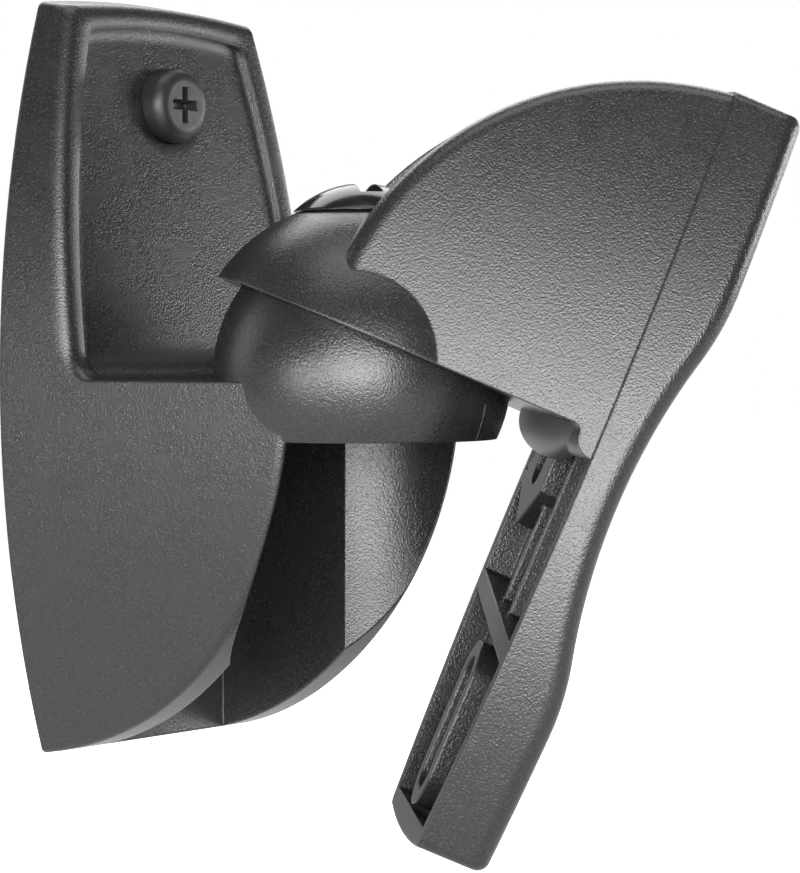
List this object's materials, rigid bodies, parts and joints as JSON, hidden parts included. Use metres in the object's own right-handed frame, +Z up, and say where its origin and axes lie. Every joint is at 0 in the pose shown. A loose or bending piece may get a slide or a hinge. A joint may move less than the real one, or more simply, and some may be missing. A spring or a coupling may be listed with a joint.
{
  "type": "speaker wall bracket",
  "caption": "Black moulded wall bracket for a small speaker: wall plate with a ball, and a clamped arm with a speaker plate that turns and tilts on it.",
  "frame": {"origin": "on the wall plane, half-way between the two wall screws", "axes": "+X away from the wall, +Z up, Y = 0 the wall plate's symmetry plane"},
  "size_m": [0.1152, 0.0824, 0.1216],
  "materials": {
    "black_plastic": "fine moulded grain",
    "black_screw": "black satin",
    "gloss_black": "gloss black",
    "zinc": "zinc plated"
  },
  "bodies": {
    "wall": {"wall_bracket": "black_plastic", "wall_screw_upper": "black_screw", "wall_screw_lower": "black_screw", "clamp_nut": "zinc"},
    "clamp": {"clamp_screw": "gloss_black"},
    "arm": {"arm": "black_plastic", "speaker_plate": "black_plastic", "plate_screw_lower": "black_screw", "plate_screw_upper": "black_screw"}
  },
  "joints": [
    {"name": "turn", "type": "hinge", "parent": "wall", "child": "clamp", "pos_m": [0.0435, 0, 0.0008], "axis": [0, 0, 1], "range_deg": [-89.2, 0]},
    {"name": "tilt", "type": "hinge", "parent": "clamp", "child": "arm", "pos_m": [0.0435, 0, 0.0008], "axis": [-0.7022, 0.712, 0], "range_deg": [-35.1, 0]}
  ]
}
